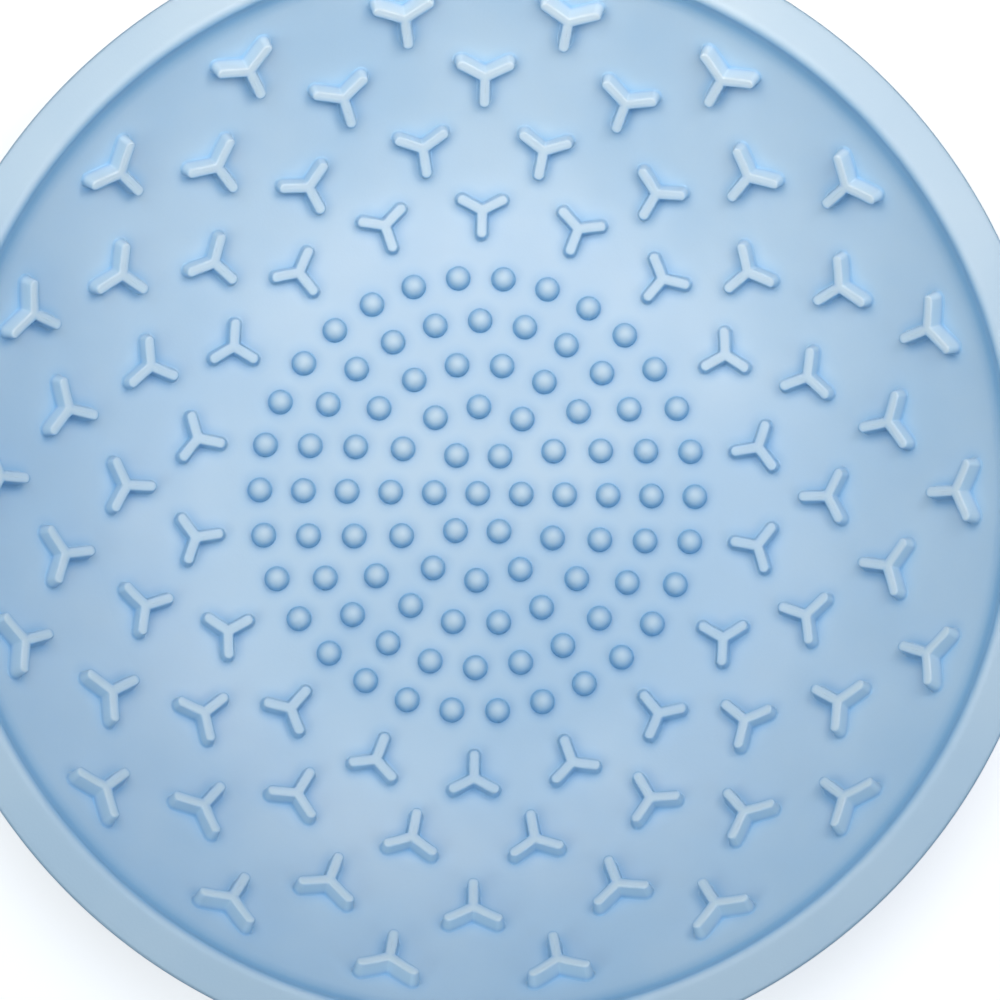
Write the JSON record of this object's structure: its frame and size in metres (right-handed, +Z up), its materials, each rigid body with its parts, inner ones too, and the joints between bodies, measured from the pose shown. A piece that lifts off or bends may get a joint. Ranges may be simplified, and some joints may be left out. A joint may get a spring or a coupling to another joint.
{
  "type": "lick mat",
  "caption": "Round bowl-shaped silicone lick mat with a flat rim, rings of round nubs on the floor, three-armed ribs on the wall and a footed base with suction cups.",
  "frame": {"origin": "centre of the mat on the plane it rests on", "axes": "+Z up, out of the bowl; +X through a nub of every ring and a rib of the second and fourth rings"},
  "size_m": [0.172, 0.172, 0.0364],
  "materials": {
    "silicone": "matte, slightly satin moulded silicone, pale blue"
  },
  "bodies": {
    "root": {"floor_disc": "silicone", "lower_wall": "silicone", "upper_wall": "silicone", "rim_flange": "silicone", "centre_nub": "silicone", "nub_ring_1": "silicone", "nub_ring_2": "silicone", "nub_ring_3": "silicone", "nub_ring_4": "silicone", "nub_ring_5": "silicone", "rib_ring_1": "silicone", "rib_ring_2": "silicone", "rib_ring_3": "silicone", "rib_ring_4": "silicone", "foot_ring": "silicone", "suction_cup_1": "silicone", "suction_cup_2": "silicone", "suction_cup_3": "silicone", "suction_cup_4": "silicone"}
  },
  "joints": []
}
